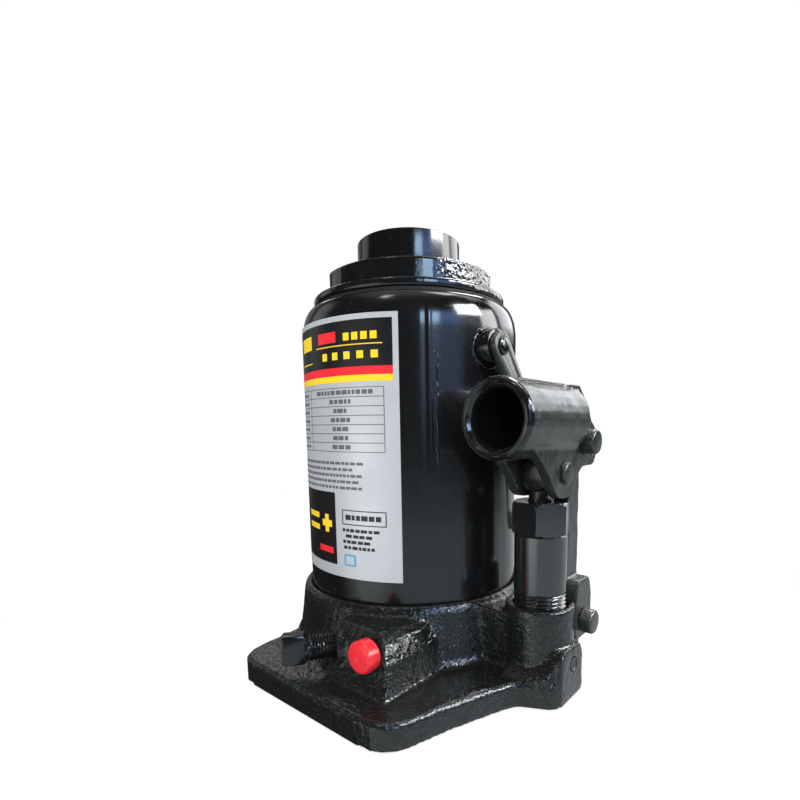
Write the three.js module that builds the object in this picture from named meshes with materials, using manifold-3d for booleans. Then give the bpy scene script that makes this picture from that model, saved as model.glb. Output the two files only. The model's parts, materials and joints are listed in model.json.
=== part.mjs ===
// Short hydraulic bottle jack with an extension screw, as separate named pieces.
// Units are millimetres. +Z is up, the ram axis is the Z axis, the base rests on z = 0.
// +X points to the pump and -Y is the front, with the release valve and the overload valve.
import * as THREE from 'three';
import { mergeVertices } from 'three/addons/utils/BufferGeometryUtils.js';
import Module from 'manifold-3d';

const wasm = await Module();
wasm.setup();

// ---------------------------------------------------------------- driving dimensions
const GAP = 0.3;             // clearance between neighbouring pieces
const CLOSED_HEIGHT = 235;   // floor to the top of the saddle
const PLATE_T = 12;          // thickness of the base plate
const COLLAR_TOP = 42.7;     // top of the cast collar round the tube
const COLLAR_R = 65.7;       // collar radius at its top
const COLLAR_FOOT_R = 69.5;  // collar radius where it meets the plate
const TUBE_R = 61.7;         // outside radius of the reservoir tube
const TUBE_T = 4;            // its wall
const TUBE_FOOT = 38.4;      // lower end of the tube
const TUBE_TOP = 196.7;      // upper end of the tube
const CYL_R = 42;            // outside radius of the main cylinder
const CYL_BORE = 35.3;       // its bore
const RAM_R = 27.5;          // ram rod radius
const PISTON_R = 34.8;       // piston radius
const RAM_TOP = 216.2;       // top of the ram when closed
const SCREW_R = 17.6;        // extension screw radius
const SCREW_BORE = 18.3;     // bore in the ram that takes the screw
const SADDLE_R = 29.3;       // saddle radius
const SADDLE_Z = 216.5;      // underside of the saddle
const NUT_R = 48;            // upper tier of the top nut
const FLANGE_R = 54.7;       // flange of the top nut
const NUT_TOP = 214.8;
const FLANGE_TOP = 203.2;
const FLANGE_Z = 198.7;      // underside of the flange

const PUMP_X = 90;           // plane of the pump, plunger, link and handle socket
const PUMP_Y = -7.2;         // pump axis
const PIN_P = [PUMP_Y, 109]; // plunger pin, as y and z
const PIN_Q = [15.5, 123];   // upper link pin
const PIN_L = [15.5, 31];    // lower link pin
const PIN_R = 4;             // plunger and link pin radius
const PLUNGER_R = 6;         // plunger radius
const PUMP_R = 12.8;         // pump cylinder radius
const HEX_R = 14.7;          // pump hexagon, across corners over two
const HEX_TURN = -11.7;      // angle of one hexagon corner, degrees
const CHEEK_IN = 7.1;        // inside faces of the socket cheeks from the pump plane
const CHEEK_OUT = 12;        // outside faces of the socket cheeks
const SOCKET_Z = 133.8;      // axis height of the handle socket
const SOCKET_R = 18;           // outside radius of the handle socket
const SOCKET_BORE = 12.4;    // its bore
const SOCKET_YAW = 2.3;      // the socket tube leans towards the reservoir, degrees
const SOCKET_FRONT = -48.5;  // open end of the handle socket
const LINK_HALF = 6.8;       // half thickness of the link bar
const FORK_OUT = 13.4;       // outside faces of the link fork
const LUG_HALF = 7;          // half thickness of the lug between the fork tines

const VALVE_Z = 25;          // height of the release valve axis
const VALVE_FACE = [15, -76];      // centre of the release valve boss face, x and y
const VALVE_DIR = [-0.64, -0.768]; // outward direction of the release valve
const BLOCK_FACE = -79;      // front face of the overload valve block
const OVERLOAD_X = 43;       // overload valve axis
const OVERLOAD_Z = 30;

const BAIL_Y = -10;          // carry handle pivot
const BAIL_Z = 170;
const BAIL_ARM = 127.6;      // pivot to the middle of the cross bar
const BAIL_LEAN = 38;        // arm angle behind straight down, degrees
const BAIL_T = 2.8;          // strap thickness
const BAIL_W = 14;           // strap width
const BAIL_X = 68.6;         // middle of the strap thickness

// ---------------------------------------------------------------- materials
const STEEL_DARK = 0x1a1b1d;
const paints = {
  castBlack: [0x0d0d0e, 0.35, 0.0],
  glossBlack: [0x08090c, 0.18, 0.0],
  satinBlack: [0x1c1d20, 0.4, 0.0],
  steel: [0x9a9da1, 0.3, 1.0],
  brightSteel: [0xc9ccd0, 0.2, 1.0],
  oxide: [STEEL_DARK, 0.45, 0.7],
  copper: [0xb06a3c, 0.35, 1.0],
  rubber: [0x151515, 0.8, 0.0],
  urethane: [0xc8a040, 0.5, 0.0],
  bronze: [0xa8813c, 0.35, 1.0],
  redPlastic: [0xd81f28, 0.35, 0.0],
  paper: [0xc9cccf, 0.5, 0.0],
};

// ---------------------------------------------------------------- helpers
// Closed surface to a solid: merged corners, no collapsed faces, outward facing.
function solidFrom(geometry) {
  geometry.deleteAttribute('normal');
  geometry.deleteAttribute('uv');
  const merged = mergeVertices(geometry, 1e-4);
  const index = merged.index.array;
  const kept = [];
  for (let i = 0; i < index.length; i += 3) {
    const [a, b, c] = [index[i], index[i + 1], index[i + 2]];
    if (a !== b && b !== c && a !== c) kept.push(a, b, c);
  }
  const vertProperties = new Float32Array(merged.attributes.position.array);
  const make = (tris) => new wasm.Manifold(
    new wasm.Mesh({ numProp: 3, vertProperties, triVerts: new Uint32Array(tris) }),
  );
  const solid = make(kept);
  if (solid.volume() > 0) return solid;
  const flipped = [];
  for (let i = 0; i < kept.length; i += 3) flipped.push(kept[i], kept[i + 2], kept[i + 1]);
  return make(flipped);
}

function toSolid(geometry, matrix) {
  const g = geometry.clone();
  if (matrix) g.applyMatrix4(matrix);
  return solidFrom(g);
}

function move(x, y, z) {
  return new THREE.Matrix4().makeTranslation(x, y, z);
}

// A matrix that sends +Z to the given direction, placed at a point.
function aim(point, dir) {
  const q = new THREE.Quaternion();
  const d = new THREE.Vector3(...dir).normalize();
  q.setFromUnitVectors(new THREE.Vector3(0, 0, 1), d);
  const one = new THREE.Vector3(1, 1, 1);
  return new THREE.Matrix4().compose(new THREE.Vector3(...point), q, one);
}

// Closed ring or disc turned round +Z. The profile is [radius, height] going round once.
function turned(profile, segments = 48) {
  const pts = profile.map(([r, z]) => new THREE.Vector2(Math.max(r, 0), z));
  pts.push(pts[0].clone());
  const lathe = new THREE.LatheGeometry(pts, segments);
  lathe.rotateX(Math.PI / 2);
  return solidFrom(lathe);
}

function placed(solid, matrix) {
  return solid.transform(matrix.elements);
}

// Round bar from a point along a direction.
function rod(point, dir, radius, length, segments = 24, endRadius = radius) {
  const cyl = new THREE.CylinderGeometry(endRadius, radius, length, segments);
  cyl.rotateX(Math.PI / 2);
  cyl.translate(0, 0, length / 2);
  return toSolid(cyl, aim(point, dir));
}

function block(x0, x1, y0, y1, z0, z1) {
  const box = new THREE.BoxGeometry(x1 - x0, y1 - y0, z1 - z0);
  return toSolid(box, move((x0 + x1) / 2, (y0 + y1) / 2, (z0 + z1) / 2));
}

// Flat outline extruded upwards, with an optional bevelled upper edge.
function plateFrom(points, z0, z1, bevel = 0, corner = 0) {
  const shape = outline(points, corner);
  const settings = { depth: z1 - z0, bevelEnabled: false, curveSegments: 4 };
  if (bevel > 0) {
    settings.bevelEnabled = true;
    settings.depth = z1 - z0 - bevel;
    settings.bevelThickness = bevel;
    settings.bevelSize = bevel;
    settings.bevelOffset = -bevel;
    settings.bevelSegments = 1;
  }
  const solid = toSolid(new THREE.ExtrudeGeometry(shape, settings), move(0, 0, z0));
  if (bevel <= 0) return solid;
  const below = [[-150, -150], [150, -150], [150, 150], [-150, 150]];
  return solid.subtract(plateFrom(below, z0 - 50, z0)).add(plateFrom(points, z0, z0 + 1));
}

// Closed outline with rounded corners. A corner may carry its own radius as a third number.
function outline(points, corner) {
  const shape = new THREE.Shape();
  const n = points.length;
  for (let i = 0; i < n; i += 1) {
    const prev = new THREE.Vector2(...points[(i + n - 1) % n].slice(0, 2));
    const here = new THREE.Vector2(...points[i].slice(0, 2));
    const next = new THREE.Vector2(...points[(i + 1) % n].slice(0, 2));
    const radius = points[i].length > 2 ? points[i][2] : corner;
    const a = prev.clone().sub(here);
    const b = next.clone().sub(here);
    const cut = Math.min(radius, a.length() * 0.45, b.length() * 0.45);
    if (cut < 0.05) {
      if (i === 0) shape.moveTo(here.x, here.y);
      else shape.lineTo(here.x, here.y);
      continue;
    }
    const p = here.clone().add(a.setLength(cut));
    const q = here.clone().add(b.setLength(cut));
    if (i === 0) shape.moveTo(p.x, p.y);
    else shape.lineTo(p.x, p.y);
    shape.quadraticCurveTo(here.x, here.y, q.x, q.y);
  }
  return shape;
}

// Flat outline given as y and z, extruded along X between two planes.
function sideFrom(points, x0, x1, corner = 0) {
  const body = new THREE.ExtrudeGeometry(outline(points, corner), {
    depth: x1 - x0,
    bevelEnabled: false,
    curveSegments: 4,
  });
  const m = new THREE.Matrix4().makeBasis(
    new THREE.Vector3(0, 1, 0),
    new THREE.Vector3(0, 0, 1),
    new THREE.Vector3(1, 0, 0),
  );
  m.setPosition(x0, 0, 0);
  return toSolid(body, m);
}

// Round-ended coil swept along a helix round +Z.
function coil(radius, wire, height, turns) {
  class Helix extends THREE.Curve {
    getPoint(t, target = new THREE.Vector3()) {
      const a = 2 * Math.PI * turns * t;
      return target.set(radius * Math.cos(a), radius * Math.sin(a), height * t);
    }
  }
  const section = new THREE.Shape();
  for (let i = 0; i < 6; i += 1) {
    const a = (i / 6) * 2 * Math.PI;
    const x = wire * Math.cos(a);
    const y = wire * Math.sin(a);
    if (i === 0) section.moveTo(x, y);
    else section.lineTo(x, y);
  }
  section.closePath();
  return toSolid(new THREE.ExtrudeGeometry(section, {
    steps: Math.round(turns * 12),
    bevelEnabled: false,
    extrudePath: new Helix(),
  }));
}

function ball(x, y, z, r) {
  const profile = [[0, -r]];
  for (let i = 1; i < 8; i += 1) {
    const a = -Math.PI / 2 + (i / 8) * Math.PI;
    profile.push([r * Math.cos(a), r * Math.sin(a)]);
  }
  profile.push([0, r]);
  return placed(turned(profile, 16), move(x, y, z));
}

const object = new THREE.Group();
object.name = 'bottle_jack';

function addPiece(name, solid, paint) {
  const out = solid.getMesh();
  const geometry = new THREE.BufferGeometry();
  geometry.setAttribute('position', new THREE.BufferAttribute(out.vertProperties, 3));
  geometry.setIndex(new THREE.BufferAttribute(out.triVerts, 1));
  geometry.computeVertexNormals();
  const [color, roughness, metalness] = paints[paint];
  const material = new THREE.MeshStandardMaterial({ color, roughness, metalness });
  material.name = paint;
  const mesh = new THREE.Mesh(geometry, material);
  mesh.name = name;
  object.add(mesh);
}

// ---------------------------------------------------------------- base
// Foot of the base, seen from above: narrow front edge, sides flaring to the rear,
// and a tab that carries the pump and the link on the +X side.
function basePlate() {
  return plateFrom([
    [-41, -98, 16], [69, -98, 20], [77.5, -67, 8], [84, -49, 8], [91, -31, 6],
    [108.3, -24, 7], [108.5, 5, 4], [96, 9, 4], [96, 30, 6],
    [86, 48, 8], [76, 84, 14], [-76, 84, 14], [-82, 40, 12], [-62, -30, 12],
    [-47, -51, 8],
  ], 0, PLATE_T, 1.6);
}

function collar() {
  return turned([
    [0, 2], [COLLAR_FOOT_R + 2.5, 2], [COLLAR_FOOT_R + 2.5, PLATE_T - 1],
    [COLLAR_FOOT_R, PLATE_T + 3.5], [COLLAR_R + 0.6, COLLAR_TOP - 3],
    [COLLAR_R - 1, COLLAR_TOP], [0, COLLAR_TOP],
  ], 72);
}

// Upright boss that takes the pump, its foot block and the web back to the collar.
function pumpBoss() {
  const boss = rod([PUMP_X, PUMP_Y, 2], [0, 0, 1], 17, 42.5, 40);
  const web = block(50, PUMP_X, PUMP_Y - 14, PUMP_Y + 14, 2, 40);
  const foot = sideFrom([
    [-24, 2], [4, 2], [4, 20], [1, 25], [-17, 27, 3], [-21, 22, 3],
  ], 84, 108.5, 1);
  const corner = plateFrom([
    [84, -33], [91, -31], [105.5, -24.5], [108.5, -20], [108.5, 4], [84, 4],
  ], 2, 26);
  return boss.add(web).add(foot.intersect(corner)).add(footRamp());
}

// Sloped fillet from the foot block down to the front of the plate.
function footRamp() {
  return sideFrom([
    [-31, 2], [-10, 2], [-10, 26], [-20, 22], [-24.5, 16], [-31, 11],
  ], 82, 104, 0).intersect(plateFrom([
    [60, -34], [90, -31], [104, -25], [108, -19], [108, 0], [60, 0],
  ], 2, 30));
}

// Lug for the lower link pin, standing between the fork tines.
function linkLug() {
  return sideFrom([
    [2, 2], [27, 2], [26, 31, 7], [22.5, 41, 6], [8.5, 41, 6], [5, 34, 3], [2, 34],
  ], PUMP_X - LUG_HALF, PUMP_X + LUG_HALF, 2).add(
    block(60, PUMP_X, 2, 24, 2, 30),
  );
}

// Valve block at the front: drafted front and sides, chamfered upper edges.
function valveBlock() {
  const profile = sideFrom([
    [-84.5, 2], [-84, 12], [-79.6, 20, 6], [BLOCK_FACE, 24], [BLOCK_FACE, 31, 3],
    [-74, 37.5, 2], [-30, 39], [-30, 2],
  ], 0, 80);
  const front = new THREE.ExtrudeGeometry(outline([
    [10, 2], [60, 2], [56, 12, 4], [53.4, 26], [50, 34.5, 4], [43, 38.5, 4], [10, 38.5],
  ], 0), { depth: 80, bevelEnabled: false, curveSegments: 4 });
  const lay = new THREE.Matrix4().makeBasis(
    new THREE.Vector3(1, 0, 0),
    new THREE.Vector3(0, 0, 1),
    new THREE.Vector3(0, -1, 0),
  );
  lay.setPosition(0, -20, 0);
  return profile.intersect(toSolid(front, lay)).intersect(block(16, 70, -95, -30, 0, 60));
}

// Rounded hump and boss round the release valve.
function valveHump() {
  const [fx, fy] = VALVE_FACE;
  const [dx, dy] = VALVE_DIR;
  const back = [fx - dx * 36, fy - dy * 36, VALVE_Z];
  const boss = rod(back, [dx, dy, 0], 13, 35, 32, 11);
  const root = rod([fx - dx * 30, fy - dy * 30, 2], [0, 0, 1], 24, 33, 32, 17);
  return boss.add(root);
}

// Drilled passages, seats and threads cut into the casting.
function basePassages() {
  const [fx, fy] = VALVE_FACE;
  const [dx, dy] = VALVE_DIR;
  const back = [fx - dx * 24, fy - dy * 24, VALVE_Z];
  return [
    turned([[0, 24], [CYL_R + GAP, 24], [CYL_R + GAP, 60], [0, 60]], 64),
    turned([[0, 36], [TUBE_R + GAP, 36], [TUBE_R + GAP, 60], [0, 60]], 72),
    rod([PUMP_X, PUMP_Y, 28], [0, 0, 1], PUMP_R + GAP, 30, 32),
    rod([PUMP_X, PUMP_Y, 14], [0, 0, 1], 3.4, 20, 16),
    rod([0, PUMP_Y, 17], [1, 0, 0], 3.4, 140, 16),
    rod([0, PUMP_Y, 17], [0, 0, 1], 3.4, 20, 16),
    rod([PUMP_X - 25, PIN_L[0], PIN_L[1]], [1, 0, 0], PIN_R + GAP, 60, 24),
    rod(back, [dx, dy, 0], 6.3 + GAP, 40, 24),
    rod([OVERLOAD_X, -50, OVERLOAD_Z], [0, -1, 0], 4.5, 40, 24),
  ];
}

function baseCasting() {
  let solid = basePlate();
  for (const piece of [collar(), pumpBoss(), linkLug(), valveBlock(), valveHump()]) {
    solid = solid.add(piece);
  }
  for (const hole of basePassages()) solid = solid.subtract(hole);
  const clearFork = [
    block(PUMP_X - FORK_OUT - 6, PUMP_X - LUG_HALF, 4.6, 40, 19.5, 70),
    block(PUMP_X + LUG_HALF, PUMP_X + FORK_OUT + 8, 4.6, 40, 19.5, 70),
    block(PUMP_X - FORK_OUT, PUMP_X + FORK_OUT, 4.6, 40, 41.2, 70),
  ];
  for (const cut of clearFork) solid = solid.subtract(cut);
  return solid;
}

// ---------------------------------------------------------------- tube, cylinder and nut
function reservoirTube() {
  const inner = TUBE_R - TUBE_T;
  return turned([
    [inner, TUBE_FOOT], [TUBE_R, TUBE_FOOT], [TUBE_R, 183], [61.3, 187.5], [59.6, 192],
    [57, 195.2], [54.4, TUBE_TOP], [50, TUBE_TOP], [50, 193], [54.4, 190],
    [57, 185], [inner, 180],
  ], 96);
}

function ring(inner, outer, z0, z1, segments = 48) {
  return turned([[inner, z0], [outer, z0], [outer, z1], [inner, z1]], segments);
}

// Stepped nut: flange on the tube, upper tier with two spanner flats, skirt on the cylinder.
function topNut() {
  const skirt = CYL_R + GAP;
  let nut = turned([
    [28.1, 196.6], [skirt, 196.6], [skirt, 180], [49.4, 180], [49.4, FLANGE_Z],
    [FLANGE_R - 0.6, FLANGE_Z], [FLANGE_R, FLANGE_Z + 0.8],
    [FLANGE_R, FLANGE_TOP - 0.8], [FLANGE_R - 0.8, FLANGE_TOP], [NUT_R, FLANGE_TOP],
    [NUT_R, NUT_TOP - 0.8], [NUT_R - 0.8, NUT_TOP], [28.1, NUT_TOP],
    [28.1, 213.3], [30.6, 213.3], [30.6, 209.4], [28.1, 209.4],
  ], 64);
  for (const turn of [45, 225]) {
    const cut = block(44, 70, -40, 40, FLANGE_TOP, 230);
    const m = new THREE.Matrix4().makeRotationZ((turn * Math.PI) / 180);
    nut = nut.subtract(placed(cut, m));
  }
  return nut;
}

function mainCylinder() {
  return ring(CYL_BORE, CYL_R, 26.1, 196, 64);
}

// ---------------------------------------------------------------- ram and extension screw
function ram() {
  return turned([
    [0, 30], [33.2, 30], [PISTON_R, 31.4], [PISTON_R, 34], [30.5, 34], [30.5, 41.4],
    [PISTON_R, 41.4], [PISTON_R, 46], [RAM_R, 46], [RAM_R, RAM_TOP - 1],
    [RAM_R - 1, RAM_TOP], [SCREW_BORE + 1, RAM_TOP], [SCREW_BORE, RAM_TOP - 1],
    [SCREW_BORE, 120], [0, 114],
  ], 56);
}

function extensionScrew() {
  return turned([
    [0, 128], [SCREW_R - 1.5, 128], [SCREW_R, 129.5], [SCREW_R, SADDLE_Z],
    [SADDLE_R - 0.6, SADDLE_Z], [SADDLE_R, SADDLE_Z + 0.6],
    [SADDLE_R, CLOSED_HEIGHT - 0.8], [SADDLE_R - 0.8, CLOSED_HEIGHT],
    [0, CLOSED_HEIGHT],
  ], 56);
}

// ---------------------------------------------------------------- pump
function pumpCylinder() {
  const barrel = turned([
    [PLUNGER_R + GAP, 30.1], [PUMP_R, 30.1], [PUMP_R, 81], [PLUNGER_R + GAP, 81],
  ], 40);
  const corners = [];
  for (let i = 0; i < 6; i += 1) {
    const a = ((HEX_TURN + 60 * i) * Math.PI) / 180;
    corners.push([HEX_R * Math.cos(a), HEX_R * Math.sin(a)]);
  }
  const hex = plateFrom(corners, 79, 95);
  const cone = turned([
    [0, 79.6], [12.9, 79.6], [14.9, 81.4], [14.9, 93.4], [13.3, 95], [0, 95],
  ], 40);
  const bore = turned([
    [0, 79], [PLUNGER_R + GAP, 79], [PLUNGER_R + GAP, 89.7], [8.3, 89.7],
    [8.3, 92.3], [PLUNGER_R + GAP, 92.3], [PLUNGER_R + GAP, 97], [0, 97],
  ], 32);
  return placed(barrel.add(hex.intersect(cone)).subtract(bore), move(PUMP_X, PUMP_Y, 0));
}

// Plunger rod with a flat-sided eye for its pin.
function pumpPlunger() {
  const shaft = turned([
    [0, 40], [5.4, 40], [PLUNGER_R, 40.6], [PLUNGER_R, 42], [4, 42], [4, 45.6],
    [PLUNGER_R, 45.6], [PLUNGER_R, 104], [0, 104],
  ], 32);
  const eye = sideFrom([
    [PIN_P[0] - 6, 100], [PIN_P[0] + 6, 100], [PIN_P[0] + 8, 105, 3],
    [PIN_P[0] + 8, 117, 7], [PIN_P[0] - 8, 117, 7], [PIN_P[0] - 8, 105, 3],
  ], PUMP_X - 6, PUMP_X + 6);
  return placed(shaft, move(PUMP_X, PUMP_Y, 0)).add(eye).subtract(
    rod([PUMP_X - 20, ...PIN_P], [1, 0, 0], PIN_R + GAP, 40, 24),
  );
}

// ---------------------------------------------------------------- handle socket and link
// Side view of the cheeks, as y and z, hanging under the socket tube.
function cheekOutline() {
  const [py, pz] = PIN_P;
  return [
    [SOCKET_FRONT + 3, 133.8], [-42, 124, 2], [-27, 112.6, 6], [-20, 104.5, 3],
    [py - 7, pz - 11.8, 5], [py + 6, pz - 12.3, 5], [py + 12.5, pz - 5, 4],
    [12, 110.5, 2], [28.5, 111, 4], [33, 121, 3], [32, 127, 4], [25, 132.5, 4],
    [15, 144, 5], [10, 147],
  ];
}

function handleSocket() {
  const skew = Math.tan((SOCKET_YAW * Math.PI) / 180);
  const at = [PUMP_X + (SOCKET_FRONT - PUMP_Y) * skew, SOCKET_FRONT, SOCKET_Z];
  const along = [skew, 1, 0];
  const tube = placed(turned([
    [0, 0.8], [SOCKET_BORE + 2, 0.8], [SOCKET_R - 3, 0], [SOCKET_R - 1.4, 0.4],
    [SOCKET_R - 0.4, 1.3], [SOCKET_R, 2.8], [SOCKET_R, 55], [SOCKET_R - 2, 57], [0, 57],
  ], 32), aim(at, along));
  const left = sideFrom(cheekOutline(), PUMP_X - CHEEK_OUT, PUMP_X - CHEEK_IN);
  const right = sideFrom(cheekOutline(), PUMP_X + CHEEK_IN, PUMP_X + CHEEK_OUT);
  const bridge = sideFrom([
    [-2, 136], [14.5, 136], [20, 138], [15, 144, 4], [8, 150], [-2, 150],
  ], PUMP_X - CHEEK_OUT, PUMP_X + CHEEK_OUT);
  const bore = placed(turned([
    [0, -1], [SOCKET_BORE + 2.8, -1], [SOCKET_BORE + 2.2, 0.7], [SOCKET_BORE + 0.9, 2],
    [SOCKET_BORE, 4.2], [SOCKET_BORE, 49], [0, 49],
  ], 32), aim(at, along));
  const slot = sideFrom([
    [1.6, 90], [60, 90], [60, 134.7], [1.6, 134.7],
  ], PUMP_X - CHEEK_IN, PUMP_X + CHEEK_IN);
  const eyeRoom = rod([PUMP_X - CHEEK_IN, ...PIN_P], [1, 0, 0], 9.6, 2 * CHEEK_IN, 32);
  const holes = [
    rod([PUMP_X - 30, ...PIN_P], [1, 0, 0], PIN_R + GAP, 60, 24),
    rod([PUMP_X - 30, ...PIN_Q], [1, 0, 0], PIN_R + GAP, 60, 24),
  ];
  let solid = tube.add(left).add(right).add(bridge);
  for (const cut of [bore, slot, eyeRoom, ...holes]) solid = solid.subtract(cut);
  return solid;
}

// Flat link bar. The upper eye is a short slot, the lower end opens into a fork.
function linkBar() {
  const [ly, lz] = PIN_L;
  const [qy, qz] = PIN_Q;
  const bar = sideFrom([
    [ly - 6.5, 40], [ly + 6.5, 40], [ly + 6.5, qz - 8, 3], [qy + 10.5, qz - 4, 4],
    [qy + 10.5, qz + 10, 8], [qy - 10.5, qz + 10, 8], [qy - 10.5, qz - 4, 4],
    [ly - 6.5, qz - 8, 3],
  ], PUMP_X - LINK_HALF, PUMP_X + LINK_HALF, 0);
  const fork = sideFrom([
    [ly - 9, lz - 9, 4], [ly + 10.5, lz - 9, 4], [ly + 10.5, lz + 14, 3],
    [ly + 6.5, lz + 22, 2], [ly - 6.5, lz + 22, 2], [ly - 9, lz + 14, 3],
  ], PUMP_X - FORK_OUT, PUMP_X + FORK_OUT);
  const gapRoom = sideFrom([
    [ly - 20, 0], [ly + 20, 0], [ly + 20, lz + 11.5], [ly - 20, lz + 11.5],
  ], PUMP_X - LUG_HALF - GAP, PUMP_X + LUG_HALF + GAP);
  const shoulders = [-1, 1].map((side) => {
    const cut = block(0, 20, ly - 20, ly + 20, 0, 30);
    const tilt = new THREE.Matrix4().makeRotationY((-side * 38 * Math.PI) / 180);
    const at = new THREE.Matrix4().makeTranslation(PUMP_X + side * LINK_HALF, 0, lz + 22);
    const flip = side < 0
      ? new THREE.Matrix4().makeTranslation(-20, 0, 0)
      : new THREE.Matrix4();
    return placed(cut, at.multiply(tilt).multiply(flip));
  });
  const slot = sideFrom([
    [qy - 6.8, qz - 5, 4.6], [qy + 6.8, qz - 5, 4.6],
    [qy + 6.8, qz + 5, 4.6], [qy - 6.8, qz + 5, 4.6],
  ], PUMP_X - 20, PUMP_X + 20);
  const low = rod([PUMP_X - 30, ly, lz], [1, 0, 0], PIN_R + GAP, 60, 24);
  let body = fork;
  for (const cut of shoulders) body = body.subtract(cut);
  return body.add(bar).subtract(gapRoom).subtract(slot).subtract(low);
}

// Headed pin along X with a cross hole for its cotter at the inner end.
function headedPin(y, z, faceOut, inner, headLength, headRadius) {
  const pin = rod([inner, y, z], [1, 0, 0], PIN_R, faceOut + GAP - inner + 1, 24);
  const head = placed(turned([
    [0, 0], [headRadius, 0], [headRadius, headLength - 0.8],
    [headRadius - 0.8, headLength], [0, headLength],
  ], 24), aim([faceOut + GAP, y, z], [1, 0, 0]));
  const hole = rod([inner + 1.8, y, z - 9], [0, 0, 1], 1.15, 18, 12);
  return pin.add(head).subtract(hole);
}

// Cotter: straight leg through the pin with a wire eye below it.
function cotter(x, y, z) {
  const leg = rod([x, y, z - 5.6], [0, 0, 1], 0.85, 11.4, 10);
  const eye = placed(turned([
    [1.5, -0.6], [2.7, -0.6], [2.7, 0.6], [1.5, 0.6],
  ], 16), aim([x, y, z - 7.4], [1, 0, 0]));
  return leg.add(eye);
}

// ---------------------------------------------------------------- valves
// Release valve: seat cone, threaded shank and a flat blade for the handle end.
function releaseValve() {
  const [fx, fy] = VALVE_FACE;
  const [dx, dy] = VALVE_DIR;
  const start = [fx - dx * 18, fy - dy * 18, VALVE_Z];
  const profile = [[0, 0], [3, 0], [6.2, 3]];
  for (let i = 0; i < 8; i += 1) {
    const z = 19 + i * 1.5;
    profile.push([6.2, z - 0.75]);
    profile.push([5.4, z]);
  }
  profile.push([6.2, 31], [6.2, 32.4], [0, 32.4]);
  const shank = placed(turned(profile, 24), aim(start, [dx, dy, 0]));
  const blade = block(-3.6, 3.6, -7.2, 7.2, 30, 43);
  const round = rod([0, 0, 29], [0, 0, 1], 7.9, 15, 24);
  return shank.add(placed(blade.intersect(round), aim(start, [dx, dy, 0])));
}

function overloadScrew() {
  const body = rod([OVERLOAD_X, -62, OVERLOAD_Z], [0, -1, 0], 4.2, 21.5, 24);
  const slot = block(OVERLOAD_X - 3, OVERLOAD_X + 3, -90, -82, OVERLOAD_Z - 0.6,
    OVERLOAD_Z + 0.6);
  return body.subtract(slot);
}

// Push-on cap over the overload valve screw.
function portCap() {
  return placed(turned([
    [4.6, 0], [7.2, 0], [7.5, 0.6], [7.5, 6], [6.4, 7.2], [1.4, 7.4], [0, 6.8],
    [0, 5.2], [4.6, 5.2],
  ], 40), aim([OVERLOAD_X, BLOCK_FACE - GAP, OVERLOAD_Z], [0, -1, 0]));
}

// ---------------------------------------------------------------- carry handle
function carryLug(side) {
  return rod([side * 58, BAIL_Y, BAIL_Z], [side, 0, 0], 9, 8.8, 28)
    .subtract(ring(0, TUBE_R + 0.15, 100, 190, 96))
    .subtract(rod([side * 50, BAIL_Y, BAIL_Z], [side, 0, 0], 3.3, 30, 20));
}

function carryRivet(side) {
  return placed(turned([
    [0, 0], [3, 0], [3, 7.6], [4.3, 7.6], [3.9, 8.4], [2.4, 8.8], [0, 9],
  ], 24), aim([side * 62.6, BAIL_Y, BAIL_Z], [side, 0, 0]));
}

// Bail: two strap arms and a cross bar behind the tube, bent from one flat strip.
function carryHandle() {
  const arms = [-1, 1].map((side) => {
    const x0 = side * BAIL_X - BAIL_T / 2;
    return sideFrom([
      [-BAIL_W / 2, -BAIL_W / 2, 6], [BAIL_W / 2, -BAIL_W / 2, 6],
      [BAIL_W / 2, BAIL_ARM - 5], [-BAIL_W / 2, BAIL_ARM - 5],
    ], x0, x0 + BAIL_T);
  });
  const half = BAIL_X + BAIL_T / 2;
  const low = BAIL_ARM + BAIL_T / 2;
  const bend = new THREE.Shape();
  bend.moveTo(-half, BAIL_ARM - 6);
  bend.quadraticCurveTo(-half, low, -half + 7, low);
  bend.lineTo(half - 7, low);
  bend.quadraticCurveTo(half, low, half, BAIL_ARM - 6);
  bend.lineTo(half - BAIL_T, BAIL_ARM - 6);
  bend.quadraticCurveTo(half - BAIL_T, low - BAIL_T, half - 7, low - BAIL_T);
  bend.lineTo(-half + 7, low - BAIL_T);
  bend.quadraticCurveTo(-half + BAIL_T, low - BAIL_T, -half + BAIL_T, BAIL_ARM - 6);
  bend.closePath();
  const cross = new THREE.ExtrudeGeometry(bend, {
    depth: BAIL_W, bevelEnabled: false, curveSegments: 6,
  });
  const lay = new THREE.Matrix4().makeBasis(
    new THREE.Vector3(1, 0, 0),
    new THREE.Vector3(0, 0, 1),
    new THREE.Vector3(0, -1, 0),
  );
  lay.setPosition(0, BAIL_W / 2, 0);
  let solid = toSolid(cross, lay);
  for (const arm of arms) solid = solid.add(arm);
  for (const side of [-1, 1]) {
    solid = solid.subtract(rod([side * 60, 0, 0], [side, 0, 0], 3.3, 20, 20));
  }
  const lean = new THREE.Matrix4().makeRotationX((BAIL_LEAN * Math.PI) / 180 - Math.PI);
  const at = move(0, BAIL_Y, BAIL_Z).multiply(lean);
  return placed(solid, at);
}

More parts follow.
